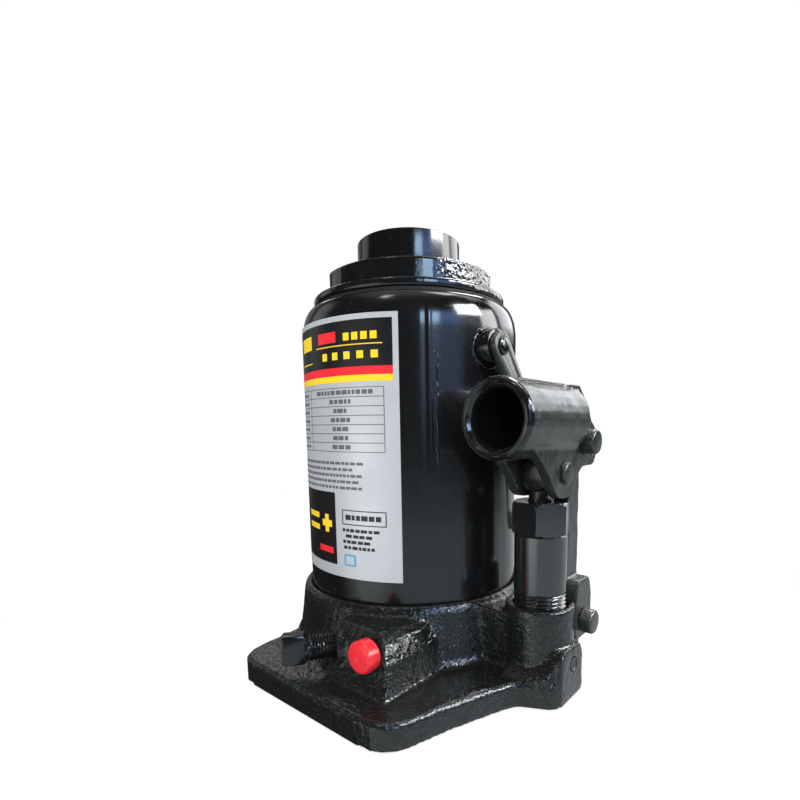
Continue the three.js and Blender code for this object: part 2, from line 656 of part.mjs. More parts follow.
// ---------------------------------------------------------------- label and plug
// Thin printed sheet wrapped round the front left of the tube.
function ratingLabel() {
  const shape = new THREE.Shape();
  const r0 = TUBE_R + 0.12;
  const r1 = TUBE_R + 0.42;
  const from = (-158 * Math.PI) / 180;
  const to = (-53.4 * Math.PI) / 180;
  const steps = 36;
  for (let i = 0; i <= steps; i += 1) {
    const a = from + ((to - from) * i) / steps;
    if (i === 0) shape.moveTo(r1 * Math.cos(a), r1 * Math.sin(a));
    else shape.lineTo(r1 * Math.cos(a), r1 * Math.sin(a));
  }
  for (let i = steps; i >= 0; i -= 1) {
    const a = from + ((to - from) * i) / steps;
    shape.lineTo(r0 * Math.cos(a), r0 * Math.sin(a));
  }
  shape.closePath();
  return toSolid(new THREE.ExtrudeGeometry(shape, { depth: 131, bevelEnabled: false }),
    move(0, 0, 54));
}

const PLUG_TURN = (120 * Math.PI) / 180;
const PLUG_DIR = [Math.cos(PLUG_TURN), Math.sin(PLUG_TURN), 0];
const PLUG_Z = 160;

function fillerPlug() {
  const [dx, dy] = PLUG_DIR;
  return placed(turned([
    [0, 0], [3.8, 0], [4.4, 1], [4.4, 6.2], [8, 6.2], [8, 7.6], [6.4, 9.4], [0, 9.8],
  ], 24), aim([dx * 56.2, dy * 56.2, PLUG_Z], PLUG_DIR));
}

// ---------------------------------------------------------------- assembly
function build() {
  const plugHole = rod([0, 0, PLUG_Z], PLUG_DIR, 4.8, 80, 24);
  const [py, pz] = PIN_P;
  const [qy, qz] = PIN_Q;
  const [ly, lz] = PIN_L;
  addPiece('base_casting', baseCasting(), 'castBlack');
  addPiece('reservoir_tube', reservoirTube().subtract(plugHole), 'glossBlack');
  addPiece('tube_foot_gasket', ring(57.9, 61.5, 36.3, 38.1, 64), 'rubber');
  addPiece('main_cylinder', mainCylinder(), 'steel');
  addPiece('cylinder_gasket', ring(36, 41.6, 24.3, 25.8, 48), 'copper');
  addPiece('top_nut', topNut(), 'glossBlack');
  addPiece('top_nut_gasket', ring(50.2, 54.2, 197, 198.4, 64), 'rubber');
  addPiece('ram_guide_bush', ring(28.1, 34.9, 176.6, 195.8, 48), 'bronze');
  addPiece('ram_wiper_seal', ring(27.8, 30.3, 209.7, 213, 48), 'urethane');
  addPiece('ram', ram(), 'brightSteel');
  addPiece('piston_cup_seal', ring(30.9, 34.9, 34.3, 38.4, 48), 'rubber');
  addPiece('piston_backup_ring', ring(30.9, 34.7, 38.8, 41.1, 48), 'urethane');
  addPiece('extension_screw', extensionScrew(), 'glossBlack');
  addPiece('pump_cylinder', pumpCylinder(), 'oxide');
  addPiece('pump_seat_washer',
    placed(ring(7, 12, 28.3, 29.8, 32), move(PUMP_X, PUMP_Y, 0)), 'copper');
  addPiece('plunger_gland_seal',
    placed(ring(PLUNGER_R + GAP, 8, 90, 92, 24), move(PUMP_X, PUMP_Y, 0)), 'rubber');
  addPiece('pump_plunger', pumpPlunger(), 'steel');
  addPiece('plunger_cup_seal',
    placed(ring(4.3, 6.05, 42.4, 45.2, 24), move(PUMP_X, PUMP_Y, 0)), 'rubber');
  addPiece('suction_ball', ball(PUMP_X, PUMP_Y, 24.5, 2.6), 'brightSteel');
  addPiece('discharge_ball', ball(66, PUMP_Y, 17, 2.6), 'brightSteel');
  addPiece('discharge_spring',
    placed(coil(2.2, 0.45, 10, 5), aim([52.5, PUMP_Y, 17], [1, 0, 0])), 'steel');
  addPiece('passage_plug', rod([100, PUMP_Y, 17], [1, 0, 0], 3.1, 8.2, 16), 'steel');
  addPiece('handle_socket', handleSocket(), 'satinBlack');
  const faceP = PUMP_X + CHEEK_OUT;
  const endP = PUMP_X - CHEEK_OUT - 6;
  addPiece('plunger_pin', headedPin(py, pz, faceP, endP, 2.2, 5.3), 'oxide');
  addPiece('upper_link_pin', headedPin(qy, qz, faceP, endP, 6.3, 6.2), 'oxide');
  addPiece('plunger_pin_cotter', cotter(endP + 1.8, py, pz), 'steel');
  addPiece('upper_link_pin_cotter', cotter(endP + 1.8, qy, qz), 'steel');
  addPiece('link_bar', linkBar(), 'satinBlack');
  const endL = PUMP_X - FORK_OUT - 4.2;
  addPiece('lower_link_pin', headedPin(ly, lz, PUMP_X + FORK_OUT, endL, 6, 6.2), 'oxide');
  addPiece('lower_link_pin_cotter', cotter(endL + 1.8, ly, lz), 'steel');
  addPiece('release_valve_screw', releaseValve(), 'oxide');
  const [dx, dy] = VALVE_DIR;
  const seat = [VALVE_FACE[0] - dx * 21, VALVE_FACE[1] - dy * 21, VALVE_Z];
  addPiece('release_ball', ball(...seat, 2.4), 'brightSteel');
  addPiece('overload_valve_screw', overloadScrew(), 'oxide');
  addPiece('overload_ball', ball(OVERLOAD_X, -53, OVERLOAD_Z, 2.4), 'brightSteel');
  addPiece('overload_spring',
    placed(coil(2.8, 0.5, 4.6, 3), aim([OVERLOAD_X, -56.2, OVERLOAD_Z], [0, -1, 0])), 'steel');
  addPiece('overload_port_cap', portCap(), 'redPlastic');
  addPiece('carry_lug_right', carryLug(1), 'glossBlack');
  addPiece('carry_lug_left', carryLug(-1), 'glossBlack');
  addPiece('carry_rivet_right', carryRivet(1), 'oxide');
  addPiece('carry_rivet_left', carryRivet(-1), 'oxide');
  addPiece('carry_handle', carryHandle(), 'glossBlack');
  addPiece('rating_label', ratingLabel(), 'paper');
  addPiece('oil_filler_plug', fillerPlug(), 'rubber');
}

build();

export default object;
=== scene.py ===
import json
import math
import random
import bpy
import bmesh
from mathutils import Matrix, Vector, noise


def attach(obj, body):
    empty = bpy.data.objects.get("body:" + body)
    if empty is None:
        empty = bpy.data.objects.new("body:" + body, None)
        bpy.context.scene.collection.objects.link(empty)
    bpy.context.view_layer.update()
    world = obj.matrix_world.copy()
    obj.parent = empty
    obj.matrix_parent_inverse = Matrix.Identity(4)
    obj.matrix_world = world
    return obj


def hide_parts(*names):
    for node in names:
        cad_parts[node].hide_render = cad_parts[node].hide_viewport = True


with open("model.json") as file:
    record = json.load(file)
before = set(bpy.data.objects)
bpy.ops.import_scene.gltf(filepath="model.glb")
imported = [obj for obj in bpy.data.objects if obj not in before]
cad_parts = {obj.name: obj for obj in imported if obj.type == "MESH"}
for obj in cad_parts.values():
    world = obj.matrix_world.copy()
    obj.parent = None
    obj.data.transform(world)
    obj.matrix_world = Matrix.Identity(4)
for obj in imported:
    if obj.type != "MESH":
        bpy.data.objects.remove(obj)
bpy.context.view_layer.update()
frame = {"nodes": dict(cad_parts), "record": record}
MM = 0.001

# ------------------------------------------------------------ sizes, in millimetres
TUBE_R = 61.7
TUBE_FOOT = 38.4
TUBE_SHOULDER = 182.0
TUBE_TOP = 196.7
SEAM_TURN = -41.5            # weld seam of the tube, degrees round it
NUT_FLATS_Z = 203.6          # the nut's wrench flats start here
RAM_R = 27.5
SADDLE_R = 29.3
SADDLE_Z = 216.5
CLOSED_HEIGHT = 235.0
PUMP_X, PUMP_Y = 90.0, -7.2
PUMP_R = 12.8
PIN_Y, PIN_Z = -7.2, 109.0
HEX_R = 14.7
HEX_TURN = -11.7
SOCKET_Z, SOCKET_BORE, SOCKET_MOUTH = 133.8, 12.4, -48.5
SOCKET_SKEW = math.tan(math.radians(2.3))
BAIL_Y, BAIL_Z = -10.0, 170.0
PLUG_TURN = math.radians(120)
PLUG_OUT = (math.cos(PLUG_TURN), math.sin(PLUG_TURN), 0)
PLUG_Z = 160
VALVE_FACE = (15, -76, 25)
VALVE_OUT = (-0.64, -0.768, 0)
VALVE_DEPTH = 18
CAP_SEAT = (43, -79.3, 30)
LABEL_FROM, LABEL_TO = -158.0, -53.4
LABEL_Z = (54.0, 185.0)
LABEL_TILT = math.radians(0.7)


# ------------------------------------------------------------ materials
# A principled material with its plain starting values.
def new_material(name, color, rough, metal=0.0, coat=0.0, coat_rough=0.05):
    mat = bpy.data.materials.new(name)
    mat.use_nodes = True
    tree = mat.node_tree
    shader = tree.nodes["Principled BSDF"]
    shader.inputs["Base Color"].default_value = (*color, 1)
    shader.inputs["Roughness"].default_value = rough
    shader.inputs["Metallic"].default_value = metal
    shader.inputs["Coat Weight"].default_value = coat
    shader.inputs["Coat Roughness"].default_value = coat_rough
    return mat, tree, shader


# Noise in the piece's own frame, from 0 to 1.
def noise_node(tree, scale, detail=4.0, rough=0.55, stretch=(1, 1, 1)):
    coords = tree.nodes.new("ShaderNodeTexCoord")
    mapping = tree.nodes.new("ShaderNodeMapping")
    mapping.inputs["Scale"].default_value = stretch
    tex = tree.nodes.new("ShaderNodeTexNoise")
    tex.inputs["Scale"].default_value = scale
    tex.inputs["Detail"].default_value = detail
    tex.inputs["Roughness"].default_value = rough
    tree.links.new(coords.outputs["Object"], mapping.inputs["Vector"])
    tree.links.new(mapping.outputs["Vector"], tex.inputs["Vector"])
    return tex.outputs["Fac"]


# A value between start and stop, mapped to low and high.
def spread(tree, value, low, high, start=0.35, stop=0.65):
    node = tree.nodes.new("ShaderNodeMapRange")
    node.inputs["From Min"].default_value = start
    node.inputs["From Max"].default_value = stop
    node.inputs["To Min"].default_value = low
    node.inputs["To Max"].default_value = high
    tree.links.new(value, node.inputs["Value"])
    return node.outputs["Result"]


# Two colours blended by a factor.
def mixed(tree, factor, first, second):
    node = tree.nodes.new("ShaderNodeMix")
    node.data_type = "RGBA"
    tree.links.new(factor, node.inputs["Factor"])
    node.inputs["A"].default_value = (*first, 1)
    node.inputs["B"].default_value = (*second, 1)
    return node.outputs["Result"]


def math_node(tree, operation, first, second=None):
    node = tree.nodes.new("ShaderNodeMath")
    node.operation = operation
    for slot_index, value in enumerate((first, second)):
        if value is None:
            continue
        if isinstance(value, (int, float)):
            node.inputs[slot_index].default_value = value
        else:
            tree.links.new(value, node.inputs[slot_index])
    return node.outputs["Value"]


# Fine relief, laid over any that the shader has already.
def bump(tree, shader, value, height, strength=1.0, inputs=("Normal",)):
    node = tree.nodes.new("ShaderNodeBump")
    node.inputs["Strength"].default_value = strength
    node.inputs["Distance"].default_value = height
    tree.links.new(value, node.inputs["Height"])
    existing = shader.inputs["Normal"].links
    if existing:
        tree.links.new(existing[0].from_socket, node.inputs["Normal"])
    for name in inputs:
        tree.links.new(node.outputs["Normal"], shader.inputs[name])


# Thick paint over a sand casting: lumpy, glossy, with a few pale specks that are dust and
# painted glints.
def cast_paint():
    mat, tree, shader = new_material("cast_paint", (0.006, 0.007, 0.007), 0.12, coat=0.4,
                                     coat_rough=0.05)
    # Pale specks in the base colour: dust, and painted glints on the dark paint.
    dust_and_highlight_specks = noise_node(tree, 1600, 2)
    tree.links.new(mixed(tree, spread(tree, dust_and_highlight_specks, 0, 1, 0.69, 0.75),
                         (0.006, 0.0072, 0.007), (0.2, 0.165, 0.12)),
                   shader.inputs["Base Color"])
    patches = noise_node(tree, 60, 3)
    tree.links.new(spread(tree, patches, 0.06, 0.16), shader.inputs["Roughness"])
    bump(tree, shader, noise_node(tree, 380, 2), 0.0006, 1.0, ("Normal", "Coat Normal"))
    bump(tree, shader, noise_node(tree, 1000, 2), 0.00022, 1.0, ("Normal", "Coat Normal"))
    return mat


# Gloss enamel on the pump: dark green grey, barely rough.
def pump_paint():
    mat, tree, shader = new_material("pump_paint", (0.005, 0.006, 0.0065), 0.2, coat=1.0,
                                     coat_rough=0.05)
    shader.inputs["Specular IOR Level"].default_value = 0.8
    cloud = noise_node(tree, 90, 3)
    tree.links.new(mixed(tree, cloud, (0.0045, 0.0055, 0.006), (0.007, 0.0085, 0.009)),
                   shader.inputs["Base Color"])
    tree.links.new(spread(tree, cloud, 0.12, 0.22), shader.inputs["Roughness"])
    bump(tree, shader, noise_node(tree, 260, 2), 0.00004, 0.7, ("Normal", "Coat Normal"))
    return mat


# Smooth sprayed gloss black with a trace of orange peel and a few dust nibs.
def gloss_paint():
    mat, tree, shader = new_material("gloss_paint", (0.0042, 0.0048, 0.005), 0.16, coat=0.5,
                                     coat_rough=0.06)
    wipe = noise_node(tree, 22, 3, stretch=(1, 1, 0.25))
    tree.links.new(spread(tree, wipe, 0.1, 0.24), shader.inputs["Roughness"])
    specks = noise_node(tree, 1500, 1)
    tree.links.new(mixed(tree, spread(tree, specks, 0, 1, 0.77, 0.8),
                         (0.0042, 0.0048, 0.005), (0.16, 0.15, 0.14)),
                   shader.inputs["Base Color"])
    bump(tree, shader, noise_node(tree, 320, 2), 0.00005, 0.6, ("Normal", "Coat Normal"))
    bump(tree, shader, noise_node(tree, 35, 2), 0.0004, 0.5, ("Normal", "Coat Normal"))
    return mat


# The same gloss black sprayed over coarse mill scale.
def scaly_paint():
    mat, tree, shader = new_material("scaly_paint", (0.006, 0.0065, 0.007), 0.1, coat=1.0,
                                     coat_rough=0.04)
    grain = noise_node(tree, 700, 2)
    tree.links.new(spread(tree, grain, 0.06, 0.12), shader.inputs["Roughness"])
    bump(tree, shader, grain, 0.0003, 1.0, ("Normal", "Coat Normal"))
    return mat


# Height of the surface normal above level, in the piece's own frame.
def upward(tree):
    coords = tree.nodes.new("ShaderNodeTexCoord")
    split = tree.nodes.new("ShaderNodeSeparateXYZ")
    tree.links.new(coords.outputs["Normal"], split.inputs[0])
    return split.outputs["Z"]


# Satin black over forged steel, with grey dust specks that thicken on what faces up; the
# lighter tops are a painted highlight from above.
def satin_paint():
    mat, tree, shader = new_material("satin_paint", (0.010, 0.011, 0.012), 0.3, coat=0.35,
                                     coat_rough=0.14)
    specks = noise_node(tree, 850, 3)
    # Painted highlight: faces that point up in the piece's own frame are mixed towards grey,
    # through the dust specks.
    high = spread(tree, upward(tree), 0, 1, 0.25, 1.0)
    dust_and_highlight_specks = spread(tree, specks, 0.25, 1.0, 0.42, 0.66)
    amount = math_node(tree, "MULTIPLY", high, dust_and_highlight_specks)
    tree.links.new(mixed(tree, amount, (0.017, 0.021, 0.020), (0.15, 0.148, 0.14)),
                   shader.inputs["Base Color"])
    tree.links.new(spread(tree, noise_node(tree, 70, 4), 0.22, 0.36),
                   shader.inputs["Roughness"])
    bump(tree, shader, noise_node(tree, 420, 3), 0.0001, 0.8, ("Normal", "Coat Normal"))
    return mat


# Bare metal with streaks from turning or grinding.
def metal(name, color, rough, grain=(1, 1, 30), scale=60, height=0.00003):
    mat, tree, shader = new_material(name, color, rough, metal=1.0)
    streaks = noise_node(tree, scale, 5, stretch=grain)
    tree.links.new(spread(tree, streaks, rough * 0.7, rough * 1.4), shader.inputs["Roughness"])
    darker = tuple(c * 0.72 for c in color)
    tree.links.new(mixed(tree, streaks, darker, color), shader.inputs["Base Color"])
    bump(tree, shader, streaks, height, 0.6)
    return mat


# Blackened steel, worn to grey in places.
def oxide():
    mat, tree, shader = new_material("black_oxide", (0.016, 0.016, 0.018), 0.33, metal=0.35,
                                     coat=0.35)
    wear = noise_node(tree, 230, 4)
    tree.links.new(mixed(tree, spread(tree, wear, 0, 1, 0.62, 0.8),
                         (0.011, 0.011, 0.013), (0.10, 0.10, 0.11)),
                   shader.inputs["Base Color"])
    tree.links.new(spread(tree, wear, 0.22, 0.4), shader.inputs["Roughness"])
    bump(tree, shader, wear, 0.0001, 0.6)
    return mat


def rubber():
    mat, tree, shader = new_material("rubber", (0.012, 0.012, 0.012), 0.7)
    grain = noise_node(tree, 700, 3)
    tree.links.new(spread(tree, grain, 0.6, 0.82), shader.inputs["Roughness"])
    bump(tree, shader, grain, 0.00006, 0.7)
    return mat


def urethane():
    mat, tree, shader = new_material("urethane", (0.5, 0.32, 0.06), 0.4)
    shader.inputs["Subsurface Weight"].default_value = 0.2
    shader.inputs["Subsurface Scale"].default_value = 0.002
    bump(tree, shader, noise_node(tree, 400, 3), 0.00004, 0.5)
    return mat


# Soft translucent red plastic with a slightly milky skin.
def red_plastic():
    mat, tree, shader = new_material("red_plastic", (0.6, 0.012, 0.022), 0.3, coat=0.6,
                                     coat_rough=0.16)
    cloud = noise_node(tree, 160, 3)
    tree.links.new(mixed(tree, spread(tree, cloud, 0, 1),
                         (0.56, 0.010, 0.018), (0.68, 0.022, 0.03)),
                   shader.inputs["Base Color"])
    shader.inputs["Subsurface Weight"].default_value = 0.15
    shader.inputs["Subsurface Scale"].default_value = 0.002
    shader.inputs["Subsurface Radius"].default_value = (1.0, 0.25, 0.2)
    tree.links.new(spread(tree, cloud, 0.26, 0.4), shader.inputs["Roughness"])
    bump(tree, shader, noise_node(tree, 420, 2), 0.00004, 0.7)
    return mat


# Printed film: flat ink with fine grain and a silky sheen.
def film(name, color, rough=0.34, silver=0.0):
    mat, tree, shader = new_material(name, color, rough, metal=silver)
    grain = noise_node(tree, 1800, 2)
    darker = tuple(c * 0.9 for c in color)
    tree.links.new(mixed(tree, grain, darker, color), shader.inputs["Base Color"])
    waves = noise_node(tree, 40, 2)
    tree.links.new(spread(tree, waves, rough * 0.85, rough * 1.2), shader.inputs["Roughness"])
    bump(tree, shader, waves, 0.00012, 0.5)
    return mat


MATS = {
    "cast": cast_paint(),
    "gloss": gloss_paint(),
    "scaly": scaly_paint(),
    "satin": satin_paint(),
    "steel": metal("machined_steel", (0.55, 0.56, 0.58), 0.3),
    "bright": metal("ground_steel", (0.72, 0.73, 0.75), 0.14, grain=(1, 1, 12), scale=90),
    "copper": metal("copper_ring", (0.75, 0.36, 0.2), 0.35, grain=(1, 1, 1)),
    "bronze": metal("turned_bronze", (0.6, 0.42, 0.16), 0.32),
    "oxide": oxide(),
    "pump": pump_paint(),
    "rubber": rubber(),
    "urethane": urethane(),
    "red": red_plastic(),
    "film": film("label_film", (0.56, 0.59, 0.62), 0.42, 0.45),
    "ink_black": film("label_black", (0.008, 0.008, 0.009), 0.3),
    "ink_red": film("label_red", (0.70, 0.012, 0.02)),
    "ink_yellow": film("label_yellow", (0.80, 0.55, 0.01)),
    "ink_grey": film("label_grey", (0.10, 0.10, 0.11)),
    "ink_blue": film("label_blue", (0.08, 0.28, 0.48)),
}


# ------------------------------------------------------------ mesh helpers
# A new visible piece: its material, its slot and the body that it rides on.
def add_object(name, mesh, body, material):
    obj = bpy.data.objects.new(name, mesh)
    bpy.context.scene.collection.objects.link(obj)
    mesh.materials.clear()
    mesh.materials.append(MATS[material])
    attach(obj, body)
    return obj


def smooth_faces(mesh, angle=38):
    for poly in mesh.polygons:
        poly.use_smooth = True
    mesh.set_sharp_from_angle(angle=math.radians(angle))


# A copy of a CAD mesh with its shared corners merged.
def welded_copy(node):
    mesh = frame["nodes"][node].data.copy()
    for name in list(mesh.attributes.keys()):
        if name.startswith("custom_normal"):
            mesh.attributes.remove(mesh.attributes[name])
    bm = bmesh.new()
    bm.from_mesh(mesh)
    bmesh.ops.remove_doubles(bm, verts=bm.verts, dist=2e-6)
    bm.to_mesh(mesh)
    bm.free()
    return mesh


def body_of(node):
    for body, members in frame["record"]["behaviour"]["bodies"].items():
        if node in members:
            return body
    return None


def apply_modifiers(obj):
    graph = bpy.context.evaluated_depsgraph_get()
    graph.update()
    mesh = bpy.data.meshes.new_from_object(obj.evaluated_get(graph))
    old = obj.data
    obj.modifiers.clear()
    obj.data = mesh
    bpy.data.meshes.remove(old)


# A CAD solid remeshed finely and relaxed, so its edges round like cast or forged metal.
def softened(node, name, voxel, relax, material, warp=None):
    obj = add_object(name, welded_copy(node), body_of(node), material)
    remesh = obj.modifiers.new("remesh", "REMESH")
    remesh.mode = "VOXEL"
    remesh.voxel_size = voxel * MM
    relaxer = obj.modifiers.new("relax", "SMOOTH")
    relaxer.factor = 0.5
    relaxer.iterations = relax
    apply_modifiers(obj)
    if warp:
        mesh = obj.data
        moved = [v.co + warp(v.co / MM, v.normal) * MM for v in mesh.vertices]
        for vert, place in zip(mesh.vertices, moved):
            vert.co = place
    obj.data.materials.clear()
    obj.data.materials.append(MATS[material])
    for poly in obj.data.polygons:
        poly.use_smooth = True
    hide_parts(node)
    return obj


# A CAD solid with its edges broken by a small bevel.
def bevelled(node, name, width, material, angle=32):
    obj = add_object(name, welded_copy(node), body_of(node), material)
    edge = obj.modifiers.new("edge", "BEVEL")
    edge.width = width * MM
    edge.segments = 2
    edge.limit_method = "ANGLE"
    edge.angle_limit = math.radians(angle)
    apply_modifiers(obj)
    obj.data.materials.clear()
    obj.data.materials.append(MATS[material])
    smooth_faces(obj.data)
    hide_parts(node)
    return obj


# Surface of revolution round +Z from a closed list of [radius, height].
def turned_mesh(name, profile, segments=128, place=None, shape=None):
    bm = bmesh.new()
    rings = []
    for radius, height in profile:
        if radius < 1e-6:
            rings.append([bm.verts.new((0, 0, height))])
            continue
        row = []
        for i in range(segments):
            turn = 2 * math.pi * i / segments
            r, z = radius, height
            if shape:
                r, z = shape(radius, height, turn)
            row.append(bm.verts.new((r * math.cos(turn), r * math.sin(turn), z)))
        rings.append(row)
    pairs = list(zip(rings, rings[1:]))
    if profile[0][0] > 1e-6 or profile[-1][0] > 1e-6:
        pairs.append((rings[-1], rings[0]))
    for low, high in pairs:
        for i in range(segments):
            j = (i + 1) % segments
            if len(low) == 1 and len(high) == 1:
                continue
            if len(low) == 1:
                bm.faces.new((low[0], high[j], high[i]))
            elif len(high) == 1:
                bm.faces.new((low[i], low[j], high[0]))
            else:
                bm.faces.new((low[i], low[j], high[j], high[i]))
    bmesh.ops.recalc_face_normals(bm, faces=bm.faces)
    matrix = Matrix.Diagonal((MM, MM, MM, 1))
    if place is not None:
        matrix = matrix @ place
    bmesh.ops.transform(bm, matrix=matrix, verts=bm.verts)
    mesh = bpy.data.meshes.new(name)
    bm.to_mesh(mesh)
    bm.free()
    smooth_faces(mesh)
    return mesh


# Corner rounding for a turned profile: each marked point becomes a short arc.
def rounded(profile):
    out = []
    count = len(profile)
    for i, point in enumerate(profile):
        if len(point) < 3:
            out.append((point[0], point[1]))
            continue
        here = Vector(point[:2])
        before = Vector(profile[(i - 1) % count][:2]) - here
        after = Vector(profile[(i + 1) % count][:2]) - here
        cut = min(point[2], before.length * 0.45, after.length * 0.45)
        first = here + before.normalized() * cut
        last = here + after.normalized() * cut
        for k in range(5):
            t = k / 4
            spot = first * (1 - t) ** 2 + here * 2 * t * (1 - t) + last * t * t
            out.append((spot.x, spot.y))
    return out


# Places a profile at a point with its axis along a direction.
def aim(point, direction):
    turn = Vector(direction).to_track_quat("Z", "Y").to_matrix().to_4x4()
    return Matrix.Translation(Vector(point)) @ turn


def turned(name, profile, body, material, nodes=(), segments=128, place=None,
           shape=None):
    mesh = turned_mesh(name, rounded(profile), segments, place, shape)
    obj = add_object(name, mesh, body, material)
    if nodes:
        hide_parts(*nodes)
    return obj


# A screw thread: radius falls and rises once a pitch along a helix, fading at both ends.
def thread(z0, z1, pitch, depth):
    def shape(radius, height, turn):
        if height < z0 or height > z1 or radius < 1:
            return radius, height
        fade = min(1.0, (height - z0) / pitch, (z1 - height) / pitch)
        phase = (height / pitch - turn / (2 * math.pi)) % 1.0
        notch = 1 - abs(2 * phase - 1)
        return radius - depth * fade * notch, height
    return shape


def steps(z0, z1, count):
    return [z0 + (z1 - z0) * i / count for i in range(count + 1)]


# ------------------------------------------------------------ casting and tube
# Unevenness of a sand casting; its underside stays flat.
def cast_lumps(co, normal):
    broad = noise.noise(co * 0.06) * 0.22
    middle = noise.noise(co * 0.22) * 0.14
    fine = noise.noise(co * 0.55) * 0.12
    if co.z < 0.6:
        return Vector((0, 0, 0))
    size = broad + middle + fine
    return normal * size


def base_piece():
    voxel = 1.0
    softened("base_casting", "base_cast_body", voxel, 2, "cast", cast_lumps)


# Straight tube with a rounded shoulder, a faint roll in its wall and a weld seam.
def tube_shape(radius, height, turn):
    ripple = 0.05 * math.sin(3 * turn + height * 0.03) + 0.04 * math.sin(height * 0.11)
    off = (turn - math.radians(SEAM_TURN) + math.pi) % (2 * math.pi) - math.pi
    dist = off * TUBE_R
    crease = -0.45 * math.exp(-((dist / 0.6) ** 2))
    crease += 0.4 * math.exp(-(((dist - 1.4) / 0.7) ** 2))
    if radius < TUBE_R - 8 or height > TUBE_SHOULDER + 8:
        return radius, height
    return radius + ripple + crease, height


def tube_piece():
    inner = TUBE_R - 4
    wall = [(TUBE_R, z) for z in steps(TUBE_FOOT, TUBE_SHOULDER - 4, 30)]
    shoulder = []
    for i in range(13):
        t = i / 12 * math.pi / 2
        r = 54.4 + (TUBE_R - 54.4) * math.cos(t) ** 0.85
        shoulder.append((r, TUBE_SHOULDER - 2 + (TUBE_TOP - TUBE_SHOULDER + 2) * math.sin(t)))
    rest = [(50.2, TUBE_TOP), (50.2, 193), (54.4, 190), (57, 185), (inner, 180),
            (inner, TUBE_FOOT)]
    mesh = turned_mesh("tube_shell", wall + shoulder + rest, 360, None, tube_shape)
    obj = add_object("tube_shell", mesh, "jack_body", "gloss")
    cut_mesh = turned_mesh("cut", [(0, 40), (4.8, 40), (4.8, 80), (0, 80)], 32,
                           aim((0, 0, PLUG_Z), PLUG_OUT))
    cutter = bpy.data.objects.new("cut", cut_mesh)
    bpy.context.scene.collection.objects.link(cutter)
    hole = obj.modifiers.new("hole", "BOOLEAN")
    hole.object = cutter
    hole.operation = "DIFFERENCE"
    apply_modifiers(obj)
    bpy.data.objects.remove(cutter)
    smooth_faces(obj.data, 45)
    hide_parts("reservoir_tube")


# Raised bead that follows a path on the tube, with an uneven width and height.
def bead(name, centres, radius, material, body, seed):
    bm = bmesh.new()
    rows = []
    for i, (centre, along) in enumerate(centres):
        side = Vector(along).normalized()
        first = side.orthogonal().normalized()
        second = side.cross(first)
        swell = radius * (0.75 + 0.5 * noise.noise(Vector((i * 0.9, seed, 0.3))))
        row = []
        for k in range(10):
            turn = 2 * math.pi * k / 10
            spot = Vector(centre) + (first * math.cos(turn) + second * math.sin(turn)) * swell
            row.append(bm.verts.new(spot * MM))
        rows.append(row)
    for low, high in zip(rows, rows[1:]):
        for k in range(10):
            j = (k + 1) % 10
            bm.faces.new((low[k], low[j], high[j], high[k]))
    bm.faces.new(list(reversed(rows[0])))
    bm.faces.new(rows[-1])
    bmesh.ops.recalc_face_normals(bm, faces=bm.faces)
    mesh = bpy.data.meshes.new(name)
    bm.to_mesh(mesh)
    bm.free()
    for poly in mesh.polygons:
        poly.use_smooth = True
    return add_object(name, mesh, body, material)


def on_tube(angle, z, radius=TUBE_R):
    turn = math.radians(angle)
    return Vector((radius * math.cos(turn), radius * math.sin(turn), z))


# Paint run beside the seam, weld rings round the lugs and a scatter of weld spatter.
def tube_details():
    path = [(on_tube(-36.5 + 0.25 * math.sin(z * 0.4), z, TUBE_R - 0.1), (0, 0, 1))
            for z in steps(112, 166, 50)]
    bead("paint_run", path, 0.75, "gloss", "jack_body", 4.0)
    for side, name in ((1, "right"), (-1, "left")):
        ring = []
        for i in range(61):
            turn = 2 * math.pi * i / 60
            y = BAIL_Y + 9.6 * math.cos(turn)
            z = BAIL_Z + 9.6 * math.sin(turn)
            x = side * math.sqrt(TUBE_R ** 2 - y * y)
            ring.append(((x, y, z), (0, -math.sin(turn), math.cos(turn))))
        bead("lug_weld_" + name, ring, 1.25, "gloss", "jack_body", 7.0 + side)
    rng = random.Random(11)
    for i in range(26):
        angle = rng.uniform(-34, -12)
        z = rng.uniform(140, 178)
        size = rng.uniform(0.18, 0.42)
        spot = on_tube(angle, z, TUBE_R - 0.05)
        axis = Vector((spot.x, spot.y, 0)).normalized()
        profile = [(0, -size)]
        for k in range(1, 6):
            a = -math.pi / 2 + math.pi * k / 6
            profile.append((size * math.cos(a), size * math.sin(a)))
        profile.append((0, size))
        mesh = turned_mesh("spatter", profile, 8, aim(spot, axis))
        add_object(f"weld_spatter_{i:02d}", mesh, "jack_body", "gloss")


# Slightly uneven skin of paint, lumpier on the right of the nut.
def nut_lumps(co, normal):
    turn = math.degrees(math.atan2(co.y, co.x))
    lumpy = max(0.0, min(1.0, (turn + 34) / 8)) if turn < 60 else 0.35
    if co.z < NUT_FLATS_Z:
        lumpy *= 0.25
    size = noise.noise(co * 0.45) * 0.2 + noise.noise(co * 0.95) * 0.36
    return normal * size * (0.06 + lumpy)


# Top nut, with mill scale showing through the paint on some of its flats.
def nut_piece():
    voxel = 0.62
    nut = softened("top_nut", "top_nut_body", voxel, 3, "gloss", nut_lumps)
    nut.data.materials.append(MATS["scaly"])
    for poly in nut.data.polygons:
        turn = math.degrees(math.atan2(poly.center.y, poly.center.x))
        edge = -31 + 3 * noise.noise(poly.center * 400)
        if edge < turn < 62 and poly.center.z > NUT_FLATS_Z * MM:
            poly.material_index = 1


